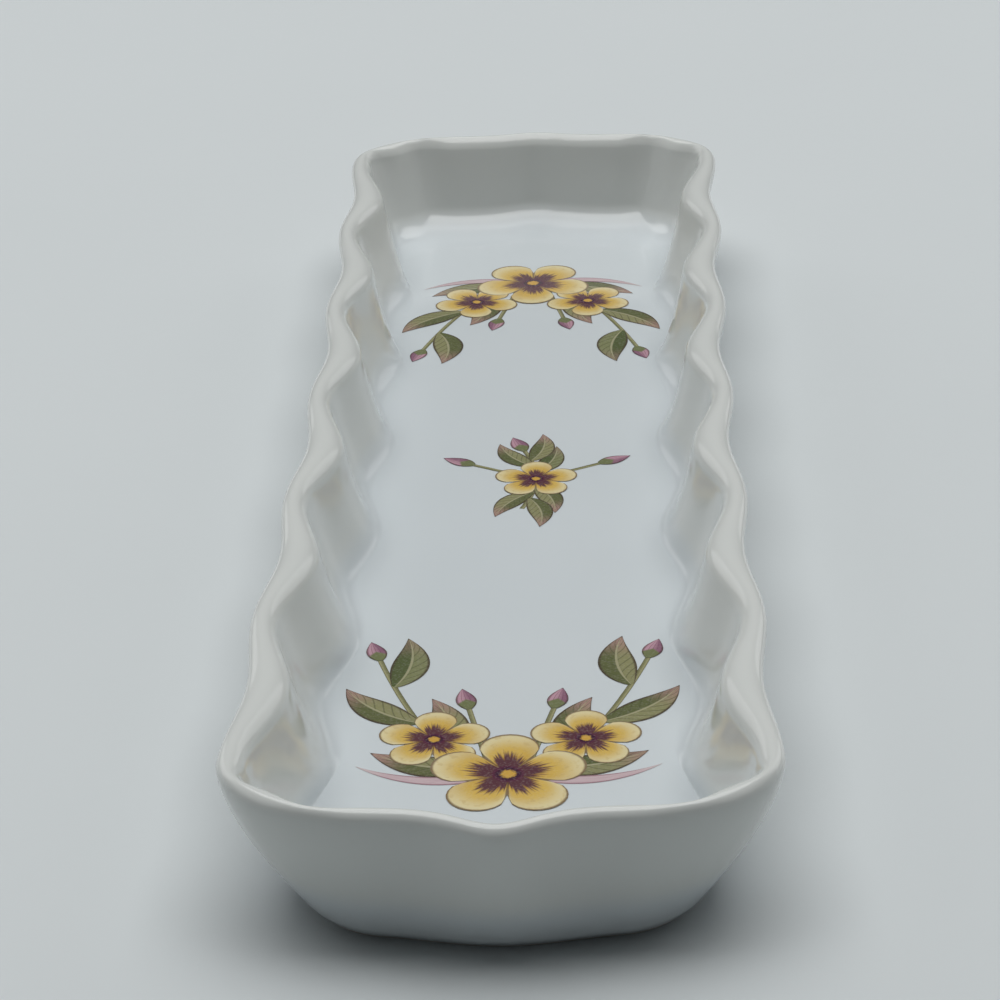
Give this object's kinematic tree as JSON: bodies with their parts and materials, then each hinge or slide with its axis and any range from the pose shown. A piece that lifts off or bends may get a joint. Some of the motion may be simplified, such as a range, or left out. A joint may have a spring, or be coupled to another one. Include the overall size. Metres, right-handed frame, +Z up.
{
  "type": "trinket tray",
  "caption": "Long shallow glazed porcelain tray with a scalloped rim, fluted flaring walls, pointed ends, a flat floor with printed flower transfers and a foot ring.",
  "frame": {"origin": "middle of the plane the foot ring stands on", "axes": "+Y along the tray towards the far end, +X across it, +Z up out of the tray"},
  "size_m": [0.078, 0.2986, 0.0238],
  "materials": {
    "glaze": "gloss",
    "near_spray_print": "gloss",
    "middle_sprig_print": "gloss",
    "far_spray_print": "gloss"
  },
  "bodies": {
    "root": {"tray_body": "glaze", "near_spray_transfer": "near_spray_print", "middle_sprig_transfer": "middle_sprig_print", "far_spray_transfer": "far_spray_print"}
  },
  "joints": []
}
